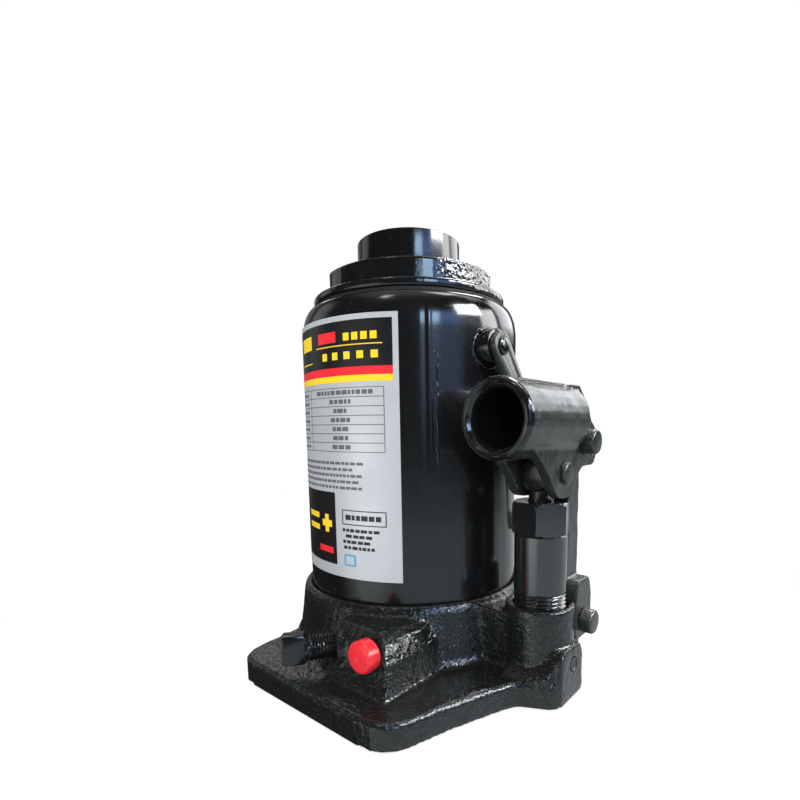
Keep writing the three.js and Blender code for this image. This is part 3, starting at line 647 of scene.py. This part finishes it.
# Ram, and the extension screw with its saddle.
def ram_pieces():
    turned("ram_rod", [
        (0, 30), (33.2, 30), (34.8, 31.4), (34.8, 34), (30.5, 34), (30.5, 41.4),
        (34.8, 41.4), (34.8, 46), (RAM_R, 46), (RAM_R, 216.2, 1), (19, 216.2), (18.3, 215.5),
        (18.3, 120), (0, 114),
    ], "ram_unit", "bright", ("ram",))
    rise = [(16.9, 129.5)] + [(17.6, z) for z in steps(131, 214, 250)]
    profile = [(0, 128), (15.5, 128)] + rise + [
        (16.4, 214.6), (16.4, 216.5), (SADDLE_R, SADDLE_Z, 0.8),
        (SADDLE_R, CLOSED_HEIGHT, 0.7), (SADDLE_R - 1.2, CLOSED_HEIGHT),
        (SADDLE_R - 2.8, CLOSED_HEIGHT), (SADDLE_R - 3.2, CLOSED_HEIGHT),
        (SADDLE_R - 3.6, CLOSED_HEIGHT - 0.5), (SADDLE_R - 4, CLOSED_HEIGHT - 0.5),
        (9.4, CLOSED_HEIGHT - 0.5), (9, CLOSED_HEIGHT - 0.5),
        (8.4, CLOSED_HEIGHT - 0.9), (8, CLOSED_HEIGHT - 0.9), (0, CLOSED_HEIGHT - 0.9),
    ]
    mesh = turned_mesh("saddle_and_screw", rounded(profile), 128, None,
                       thread(131, 214, 4.5, 1.5))
    obj = add_object("saddle_and_screw", mesh, "extension", "gloss")
    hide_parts("extension_screw")


# ------------------------------------------------------------ pump, socket and link
# Barrel with a threaded foot and a chamfered hexagon at its top.
def pump_shape(radius, height, turn):
    if radius < 9:
        return radius, height
    if height < 52:
        return thread(38, 51.5, 1.9, 1.15)(radius, height, turn)
    if height < 79.2 or radius < PUMP_R:
        return radius, height
    side = (turn - math.radians(HEX_TURN)) % (math.pi / 3)
    flat = HEX_R * math.cos(math.pi / 6) / math.cos(side - math.pi / 6)
    return min(radius, flat), height


def pump_piece():
    barrel = [(PUMP_R, z) for z in steps(31.0, 52.0, 120)]
    hexagon = [(12.9, 79.3), (14.2, 80.0)] + [(14.9, z) for z in steps(81.2, 93.2, 6)]
    hexagon += [(14.4, 93.9), (13.9, 94.5), (13.2, 95)]
    neck = [(PUMP_R, 53), (PUMP_R, 77.5), (PUMP_R, 78.6), (PUMP_R - 0.3, 79)]
    profile = [(6.3, 30.1), (12.2, 30.1)] + barrel + neck + hexagon + [
        (8.3, 95), (6.3, 94.4), (6.3, 92.3), (8.3, 92.3), (8.3, 89.7), (6.3, 89.7),
    ]
    mesh = turned_mesh("pump_body", profile, 360, None, pump_shape)
    mesh.transform(Matrix.Translation((PUMP_X * MM, PUMP_Y * MM, 0)))
    smooth_faces(mesh, 24)
    obj = add_object("pump_body", mesh, "jack_body", "pump")
    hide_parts("pump_cylinder")


# Forged skin, cut back a little inside the socket where the plunger eye turns.
def socket_skin(co, normal):
    reach = math.hypot(co.y - PIN_Y, co.z - PIN_Z)
    if reach < 11 and abs(co.x - PUMP_X) < 7.6:
        return normal * -0.3
    return forged(co, normal)


# Unevenness of a forging.
def forged(co, normal):
    return normal * (noise.noise(co * 0.12) * 0.3 + noise.noise(co * 0.5) * 0.05)


# The socket's mouth and bore take the darker gloss paint, which in the bore is painted shade;
# only its outside gets the satin's dust and painted top highlight.
def gloss_mouth_shaded_bore(socket):
    socket.data.materials.append(MATS["gloss"])
    for poly in socket.data.polygons:
        x, y, z = poly.center / MM
        reach = math.hypot(x - PUMP_X - (y - PUMP_Y) * SOCKET_SKEW, z - SOCKET_Z)
        # Mouth and bore faces: the dark gloss inside the bore stands in for the shade there.
        if reach < SOCKET_BORE + 0.8 and y < 1 or y < SOCKET_MOUTH + 2.4:
            poly.material_index = 1


def linkage_pieces():
    fine = 0.5
    socket = softened("handle_socket", "handle_socket_body", fine + 0.1, 5, "satin",
                      socket_skin)
    gloss_mouth_shaded_bore(socket)
    softened("link_bar", "link_body", fine + 0.1, 4, "satin", forged)
    bevelled("pump_plunger", "plunger_rod", 0.35, "oxide")
    for node in ("plunger_pin", "upper_link_pin", "lower_link_pin"):
        bevelled(node, node + "_body", 0.3, "satin")
    for node in ("plunger_pin_cotter", "upper_link_pin_cotter", "lower_link_pin_cotter"):
        bevelled(node, node + "_wire", 0.25, "oxide")


# ------------------------------------------------------------ valves and cap
# Release screw: a threaded shank and a flat blade to turn it by.
def release_screw():
    out = Vector(VALVE_OUT).normalized()
    start = Vector(VALVE_FACE) - out * VALVE_DEPTH
    rise = [(6.4, z) for z in steps(3.4, 30.4, 90)]
    profile = [(0, 0), (3, 0)] + rise + [(5.6, 31), (5.6, 32.2), (0, 32.2)]
    mesh = turned_mesh("release_shank", profile, 64, aim(start, out),
                       thread(4, 30.2, 1.55, 0.85))
    shank = add_object("release_shank", mesh, "release_valve", "gloss")
    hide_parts("release_valve_screw")
    across = Vector((0, 0, 1))
    side = out.cross(across)
    bm = bmesh.new()
    outline = [(30.6, -5.2), (33, -7.3), (42.6, -7.4), (43.6, -6.2), (43.6, 6.2),
               (42.6, 7.4), (33, 7.3), (30.6, 5.2)]
    layers = []
    for offset, shrink in ((-3.8, 0.86), (-3.4, 0.97), (-2.8, 1), (2.8, 1), (3.4, 0.97),
                           (3.8, 0.86)):
        row = []
        for along, high in outline:
            middle = 37.1
            spot = (start + out * (middle + (along - middle) * shrink)
                    + across * high * shrink + side * offset)
            row.append(bm.verts.new(spot * MM))
        layers.append(row)
    count = len(outline)
    for low, high in zip(layers, layers[1:]):
        for i in range(count):
            j = (i + 1) % count
            bm.faces.new((low[i], low[j], high[j], high[i]))
    bm.faces.new(layers[0])
    bm.faces.new(list(reversed(layers[-1])))
    bmesh.ops.recalc_face_normals(bm, faces=bm.faces)
    mesh = bpy.data.meshes.new("release_blade")
    bm.to_mesh(mesh)
    bm.free()
    smooth_faces(mesh, 30)
    add_object("release_blade", mesh, "release_valve", "gloss")


def red_cap():
    turned("overload_cap_skin", [
        (4.6, 0), (7.3, 0, 0.3), (7.5, 5.6, 0.5), (6.6, 7.1, 1.0), (1.6, 7.3, 0.3),
        (1.2, 6.8, 0.3), (0, 6.7), (0, 5.2), (4.6, 5.2),
    ], "port_cap", "red", ("overload_port_cap",), 72,
        aim(CAP_SEAT, (0, -1, 0)))


# ------------------------------------------------------------ carry handle, plug, others
def carry_pieces():
    bevelled("carry_handle", "carry_bail", 0.6, "satin")
    for side, name in ((1, "right"), (-1, "left")):
        bevelled("carry_lug_" + name, "bail_lug_" + name, 0.5, "gloss")
        turned("bail_rivet_" + name, [
            (0, 0), (3, 0), (3, 7.7), (4.4, 7.7, 0.2), (4.1, 8.3, 0.3), (2.6, 8.85, 0.5),
            (0, 9),
        ], "jack_body", "gloss", ("carry_rivet_" + name,), 48,
            aim((side * 62.6, BAIL_Y, BAIL_Z), (side, 0, 0)))
    out = Vector(PLUG_OUT)
    turned("filler_plug_body", [
        (0, 0), (3.8, 0, 0.4), (4.4, 1), (4.4, 6.2), (8, 6.2, 0.3), (8, 7.6, 0.6),
        (6.4, 9.4, 0.6), (2.4, 9.7), (2, 9.3), (0, 9.3),
    ], "filler_plug", "rubber", ("oil_filler_plug",), 48,
        aim(out * 56.2 + Vector((0, 0, PLUG_Z)), out))


# Pieces inside the jack keep their CAD mesh and take a material only.
INNER = {
    "tube_foot_gasket": "rubber", "main_cylinder": "steel", "cylinder_gasket": "copper",
    "top_nut_gasket": "rubber", "ram_guide_bush": "bronze", "ram_wiper_seal": "urethane",
    "piston_cup_seal": "rubber", "piston_backup_ring": "urethane",
    "pump_seat_washer": "copper", "plunger_gland_seal": "rubber",
    "plunger_cup_seal": "rubber", "suction_ball": "bright", "discharge_ball": "bright",
    "discharge_spring": "steel", "passage_plug": "oxide", "release_ball": "bright",
    "overload_valve_screw": "oxide", "overload_ball": "bright", "overload_spring": "steel",
}


def inner_materials():
    for node, material in INNER.items():
        obj = frame["nodes"][node]
        for place in obj.material_slots:
            place.link = "OBJECT"
            place.material = MATS[material]


# ------------------------------------------------------------ label
# Thin curved block on the tube between two angles and two heights.
def patch(bm, a0, a1, z0, z1, ink, lift):
    low = TUBE_R + 0.05
    high = TUBE_R + 0.3 + lift
    count = max(1, math.ceil(abs(a1 - a0) / 2.5))
    rows = []
    for i in range(count + 1):
        angle = a0 + (a1 - a0) * i / count
        drop = math.tan(LABEL_TILT) * math.radians(angle - LABEL_TO) * TUBE_R
        turn = math.radians(angle)
        row = []
        for r, z in ((low, z0), (high, z0), (high, z1), (low, z1)):
            spot = Vector((r * math.cos(turn), r * math.sin(turn), z - drop))
            row.append(bm.verts.new(spot * MM))
        rows.append(row)
    faces = []
    for first, second in zip(rows, rows[1:]):
        for k in range(4):
            j = (k + 1) % 4
            faces.append(bm.faces.new((first[k], second[k], second[j], first[j])))
    faces.append(bm.faces.new(rows[0]))
    faces.append(bm.faces.new(list(reversed(rows[-1]))))
    for face in faces:
        face.material_index = ink


INKS = ["film", "ink_black", "ink_red", "ink_yellow", "ink_grey", "ink_blue"]
FILM, BLACK, RED, YELLOW, GREY, BLUE = range(6)


# Row of small bars that stands for a line of print.
def print_line(bm, rng, a0, a1, z, height, ink):
    angle = a1
    while angle - 1.2 > a0:
        width = rng.uniform(1.3, 3.6)
        end = max(angle - width, a0)
        patch(bm, end, angle, z, z + height, ink, 0.05)
        angle = end - rng.uniform(0.45, 0.8)


def header(bm):
    patch(bm, LABEL_FROM + 2.5, LABEL_TO - 2.6, 160.4, 182.4, BLACK, 0.03)
    patch(bm, LABEL_FROM + 2.5, LABEL_TO - 2.6, 156.4, 160.4, RED, 0.03)
    patch(bm, LABEL_FROM + 2.5, LABEL_TO - 2.6, 153.3, 156.4, YELLOW, 0.03)
    patch(bm, -99, -60.5, 170.6, 171.1, YELLOW, 0.06)
    for i in range(4):
        first = -63 - i * 4.6
        patch(bm, first - 3.2, first, 173.0, 176.6, YELLOW, 0.06)
    patch(bm, -97, -84.5, 172.6, 177.8, RED, 0.06)
    for i in range(5):
        first = -62.6 - i * 7.0
        patch(bm, first - 3.4, first, 164.2, 167.8, YELLOW, 0.06)
    patch(bm, -118, -104, 171.0, 178.0, YELLOW, 0.06)
    patch(bm, -118, -104, 163.8, 164.4, YELLOW, 0.06)


def rating_table(bm, rng):
    top, bottom, right, left = 150.4, 118.9, -60.2, -140.0
    rows = 7
    for i in range(rows + 1):
        z = bottom + (top - bottom) * i / rows
        patch(bm, left, right, z, z + 0.35, GREY, 0.05)
    for angle in (right, -107.0, left):
        patch(bm, angle - 0.35, angle, bottom, top + 0.35, GREY, 0.05)
    for i in range(rows):
        z = bottom + (top - bottom) * (i + 0.32) / rows
        wide = 36 if i == rows - 1 else rng.uniform(8, 14)
        middle = -83.5
        print_line(bm, rng, middle - wide / 2, middle + wide / 2, z, 2.1, GREY)
        print_line(bm, rng, -124, -111, z, 1.5, GREY)


def small_print(bm, rng):
    for i in range(5):
        z = 112.5 - i * 3.1
        print_line(bm, rng, -128, -66 - rng.uniform(0, 14), z, 1.4, GREY)
    for z in (82.0, 89.2):
        patch(bm, -84, -60.5, z, z + 0.5, BLACK, 0.05)
    for angle in (-84, -60.9):
        patch(bm, angle, angle + 0.5, 82.0, 89.7, BLACK, 0.05)
    print_line(bm, rng, -82, -63, 84.6, 2.6, BLACK)
    for i in range(4):
        print_line(bm, rng, -84, -66 + rng.uniform(-3, 3), 78.4 - i * 3.0, 1.6, BLACK)
    patch(bm, -83.5, -76.5, 60.4, 66.6, BLUE, 0.05)
    patch(bm, -82.4, -77.6, 61.4, 65.6, FILM, 0.08)
    print_line(bm, rng, -82.0, -78.0, 62.8, 1.4, BLUE)
    patch(bm, -128, -88.5, 60.0, 98.0, BLACK, 0.03)
    patch(bm, -99.5, -91.5, 79.5, 83.0, YELLOW, 0.06)
    patch(bm, -97.0, -94.0, 76.5, 86.0, YELLOW, 0.07)
    patch(bm, -116, -103, 76.5, 79.5, YELLOW, 0.06)
    patch(bm, -116, -103, 83.0, 86.0, YELLOW, 0.06)
    patch(bm, -103, -91, 65.5, 68.8, RED, 0.06)


def label_piece():
    rng = random.Random(5)
    bm = bmesh.new()
    patch(bm, LABEL_FROM, LABEL_TO, LABEL_Z[0], LABEL_Z[1], FILM, 0)
    header(bm)
    rating_table(bm, rng)
    small_print(bm, rng)
    bmesh.ops.recalc_face_normals(bm, faces=bm.faces)
    mesh = bpy.data.meshes.new("rating_plate")
    bm.to_mesh(mesh)
    bm.free()
    obj = bpy.data.objects.new("rating_plate", mesh)
    bpy.context.scene.collection.objects.link(obj)
    for ink in INKS:
        mesh.materials.append(MATS[ink])
    smooth_faces(mesh, 30)
    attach(obj, "jack_body")
    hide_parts("rating_label")


# ------------------------------------------------------------ stage, light and camera
# Pale paper floor that fades to the white backdrop.
def floor():
    size = 6.0
    mesh = bpy.data.meshes.new("floor")
    corners = [(-size, -size, 0), (size, -size, 0), (size, size, 0), (-size, size, 0)]
    mesh.from_pydata([Vector(c) + Vector((0, 0, -0.0004)) for c in corners], [], [(0, 1, 2, 3)])
    obj = bpy.data.objects.new("floor", mesh)
    bpy.context.scene.collection.objects.link(obj)
    mat, tree, shader = new_material("floor_paper", (0.9, 0.9, 0.9), 0.9)
    bump(tree, shader, noise_node(tree, 300, 2), 0.0001, 0.1)
    far = tree.nodes.new("ShaderNodeEmission")
    far.inputs["Color"].default_value = (1, 1, 1, 1)
    coords = tree.nodes.new("ShaderNodeTexCoord")
    reach = tree.nodes.new("ShaderNodeVectorMath")
    reach.operation = "LENGTH"
    tree.links.new(coords.outputs["Object"], reach.inputs[0])
    blend = tree.nodes.new("ShaderNodeMixShader")
    tree.links.new(spread(tree, reach.outputs["Value"], 0.55, 1, 0.12, 0.3),
                   blend.inputs["Fac"])
    tree.links.new(shader.outputs["BSDF"], blend.inputs[1])
    tree.links.new(far.outputs["Emission"], blend.inputs[2])
    tree.links.new(blend.outputs["Shader"], tree.nodes["Material Output"].inputs["Surface"])
    mesh.materials.append(mat)
    obj.visible_glossy = False


# One where an angle lies between two limits, with soft edges, all in degrees.
def between(tree, angle, low, high, soft):
    rise = spread(tree, angle, 0, 1, low - soft, low + soft)
    fall = spread(tree, angle, 1, 0, high - soft, high + soft)
    return math_node(tree, "MULTIPLY", rise, fall)


# Soft boxes round the room, seen only in reflections:
# azimuth from and to, elevation from and to, softness, strength, colour.
ROOM_LIGHTS = (
    (-34, -18, 14, 27, 2.0, 10.0, (0.5, 0.72, 1.0)),
    (-18, 4, 14, 27, 3.5, 3.0, (0.25, 0.42, 1.0)),
    (-36, 6, 1, 14, 5, 0.8, (0.45, 0.62, 1.0)),
    (4, 31, 12, 30, 3, 0.9, (0.85, 0.9, 1.0)),
    (31, 55, 10, 30, 1.5, 6.5, (1.0, 1.0, 1.0)),
    (62, 96, 12, 40, 3, 3.0, (0.95, 0.97, 1.0)),
    (20, 62, 64, 80, 3, 5.0, (1.0, 1.0, 1.0)),
    (-122, -80, -14, 6, 8, 1.6, (1.0, 1.0, 1.0)),
    (4, 34, 24, 38, 1.0, 30.0, (0.92, 0.97, 1.0)),
    (40, 70, 46, 70, 4, 1.6, (0.95, 0.98, 1.0)),
    (98, 112, 42, 58, 1.5, 26.0, (1.0, 1.0, 1.0)),
    (-92, -80, 56, 66, 1.5, 7.0, (1.0, 1.0, 1.0)),
    (148, 160, 30, 44, 1.5, 3.0, (1.0, 1.0, 1.0)),
    (108, 176, -8, 32, 6, 0.2, (1.0, 1.0, 1.0)),
    (-175, -150, 5, 40, 5, 0.5, (0.9, 0.95, 1.0)),
    (-112, 66, -70, -8, 3.5, 0.6, (0.82, 0.95, 1.0)),
    (66, 112, -40, -1, 6, 0.5, (0.95, 0.98, 1.0)),
    (-180, 180, 62, 90, 9, 0.35, (1.0, 1.0, 1.0)),
)
ROOM_DIM = 0.02
ROOM_FILL = 0.8


def room_colour(tree):
    coords = tree.nodes.new("ShaderNodeTexCoord")
    split = tree.nodes.new("ShaderNodeSeparateXYZ")
    tree.links.new(coords.outputs["Generated"], split.inputs[0])
    turn = math_node(tree, "ARCTAN2", split.outputs["Y"], split.outputs["X"])
    azimuth = math_node(tree, "MULTIPLY", turn, 180 / math.pi)
    rise = math_node(tree, "ARCSINE", split.outputs["Z"])
    elevation = math_node(tree, "MULTIPLY", rise, 180 / math.pi)
    total = None
    for a0, a1, e0, e1, soft, strength, color in ROOM_LIGHTS:
        across = between(tree, azimuth, a0, a1, soft)
        aloft = between(tree, elevation, e0, e1, soft)
        amount = math_node(tree, "MULTIPLY", across, aloft)
        tint = tree.nodes.new("ShaderNodeVectorMath")
        tint.operation = "SCALE"
        tint.inputs[0].default_value = tuple(c * strength for c in color)
        tree.links.new(amount, tint.inputs["Scale"])
        if total is None:
            total = tint.outputs["Vector"]
            continue
        add = tree.nodes.new("ShaderNodeVectorMath")
        add.operation = "ADD"
        tree.links.new(total, add.inputs[0])
        tree.links.new(tint.outputs["Vector"], add.inputs[1])
        total = add.outputs["Vector"]
    base = tree.nodes.new("ShaderNodeVectorMath")
    base.operation = "ADD"
    base.inputs[1].default_value = (ROOM_DIM, ROOM_DIM, ROOM_DIM)
    tree.links.new(total, base.inputs[0])
    return base.outputs["Vector"]


# White backdrop for the camera, even fill for matt surfaces, a lit room in reflections.
def room():
    world = bpy.data.worlds.new("room")
    bpy.context.scene.world = world
    world.use_nodes = True
    world.cycles.sampling_method = "NONE"
    tree = world.node_tree
    tree.nodes.clear()
    out = tree.nodes.new("ShaderNodeOutputWorld")
    path = tree.nodes.new("ShaderNodeLightPath")
    white = tree.nodes.new("ShaderNodeBackground")
    fill = tree.nodes.new("ShaderNodeBackground")
    fill.inputs["Strength"].default_value = ROOM_FILL
    seen = tree.nodes.new("ShaderNodeBackground")
    tree.links.new(room_colour(tree), seen.inputs["Color"])
    for node in (white, fill):
        node.inputs["Color"].default_value = (1, 1, 1, 1)
    inner = tree.nodes.new("ShaderNodeMixShader")
    outer = tree.nodes.new("ShaderNodeMixShader")
    tree.links.new(path.outputs["Is Glossy Ray"], inner.inputs["Fac"])
    tree.links.new(fill.outputs["Background"], inner.inputs[1])
    tree.links.new(seen.outputs["Background"], inner.inputs[2])
    tree.links.new(path.outputs["Is Camera Ray"], outer.inputs["Fac"])
    tree.links.new(inner.outputs["Shader"], outer.inputs[1])
    tree.links.new(white.outputs["Background"], outer.inputs[2])
    tree.links.new(outer.outputs["Shader"], out.inputs["Surface"])


# A soft light aimed at the middle of the jack.
def panel(name, azimuth, elevation, distance, width, height, power, color, glossy=True):
    light = bpy.data.lights.new(name, "AREA")
    light.shape = "RECTANGLE"
    light.size = width
    light.size_y = height
    light.energy = power
    light.color = color
    turn = math.radians(azimuth)
    rise = math.radians(elevation)
    target = Vector((0, 0, 0.12))
    away = Vector((math.cos(turn) * math.cos(rise), math.sin(turn) * math.cos(rise),
                   math.sin(rise)))
    obj = bpy.data.objects.new(name, light)
    obj.location = target + away * distance
    obj.rotation_euler = (-away).to_track_quat("-Z", "Y").to_euler()
    obj.visible_glossy = glossy
    bpy.context.scene.collection.objects.link(obj)


def lights():
    white = (1, 1, 1)
    panel("front_fill", -50, 28, 1.8, 1.2, 1.2, 22.0, white, False)
    panel("left_fill", -130, 30, 1.8, 1.0, 1.0, 8.0, white, False)
    panel("right_fill", 30, 40, 1.8, 1.0, 1.0, 12.0, white, False)
    panel("top_fill", -40, 80, 1.5, 0.8, 0.8, 10.0, white, False)


# Camera from its place round the object, its roll, and the off-centre frame.
VIEW_AZIMUTH = math.radians(39.83)
VIEW_DOWN = math.radians(6.95)
VIEW_ROLL = math.radians(-0.74)
VIEW_DISTANCE = 0.29946
VIEW_SIDE = 0.00985
VIEW_HEIGHT = 0.09239
LENS = 21.88
SHIFT = (-0.0358, 0.1145)


def camera():
    ahead = Vector((-math.sin(VIEW_AZIMUTH) * math.cos(VIEW_DOWN),
                    math.cos(VIEW_AZIMUTH) * math.cos(VIEW_DOWN), -math.sin(VIEW_DOWN)))
    level = Vector((math.cos(VIEW_AZIMUTH), math.sin(VIEW_AZIMUTH), 0))
    above = level.cross(ahead)
    right = level * math.cos(VIEW_ROLL) + above * math.sin(VIEW_ROLL)
    up = above * math.cos(VIEW_ROLL) - level * math.sin(VIEW_ROLL)
    data = bpy.data.cameras.new("camera")
    data.sensor_width = 36
    data.lens = LENS
    data.shift_x, data.shift_y = SHIFT
    data.clip_start = 0.01
    obj = bpy.data.objects.new("camera", data)
    spot = Vector((0, 0, VIEW_HEIGHT)) - ahead * VIEW_DISTANCE + level * VIEW_SIDE
    turn = Matrix((right, up, -ahead)).transposed().to_4x4()
    obj.matrix_world = Matrix.Translation(spot) @ turn
    bpy.context.scene.collection.objects.link(obj)
    bpy.context.scene.camera = obj
    bpy.context.scene.view_settings.view_transform = "Standard"


base_piece()
tube_piece()
tube_details()
nut_piece()
ram_pieces()
pump_piece()
linkage_pieces()
release_screw()
red_cap()
carry_pieces()
inner_materials()
label_piece()
floor()
room()
lights()
camera()
